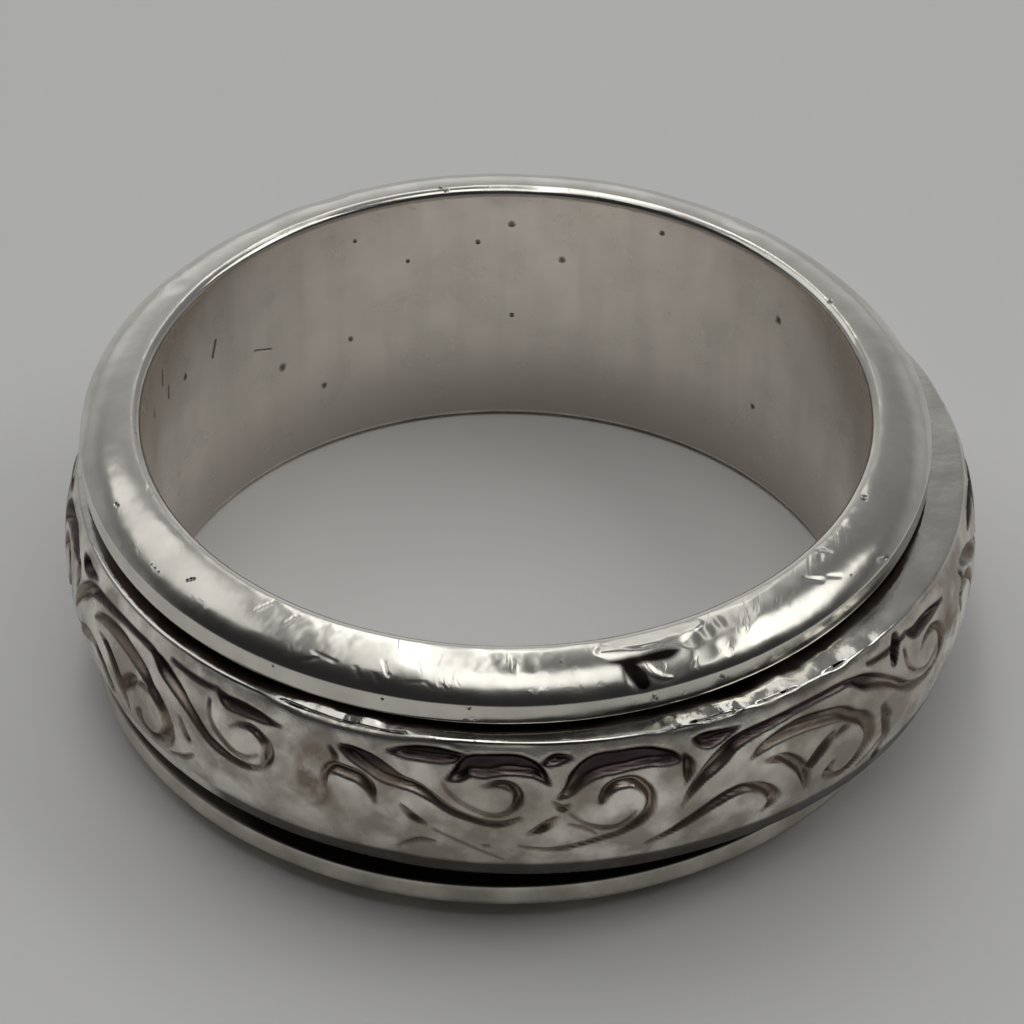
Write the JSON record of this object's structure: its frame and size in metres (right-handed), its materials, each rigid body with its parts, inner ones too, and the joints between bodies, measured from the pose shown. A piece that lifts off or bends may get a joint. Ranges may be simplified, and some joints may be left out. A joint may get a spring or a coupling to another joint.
{
  "type": "spinner ring",
  "caption": "Silver spinner ring: an inner band with two rolled rims carries a loose domed band with a scroll relief, which turns in the channel between them.",
  "frame": {"origin": "middle of the finger bore, half way between the two rims", "axes": "+Z along the finger bore, upwards as the ring lies on its side; +X to the right and -Y towards the viewer of the picture"},
  "size_m": [0.0242, 0.0242, 0.008],
  "materials": {
    "polished_silver": "worn polished sterling silver",
    "oxidised_silver": "satin cast sterling silver, dark in the relief"
  },
  "bodies": {
    "ring": {"inner_band": "polished_silver"},
    "spinner": {"spinner_band": "oxidised_silver"}
  },
  "joints": [
    {"name": "spinner_spin", "type": "hinge", "parent": "ring", "child": "spinner", "pos_m": [0.0004, 0, 0], "axis": [0, 0.0455, 0.999], "continuous": true}
  ]
}
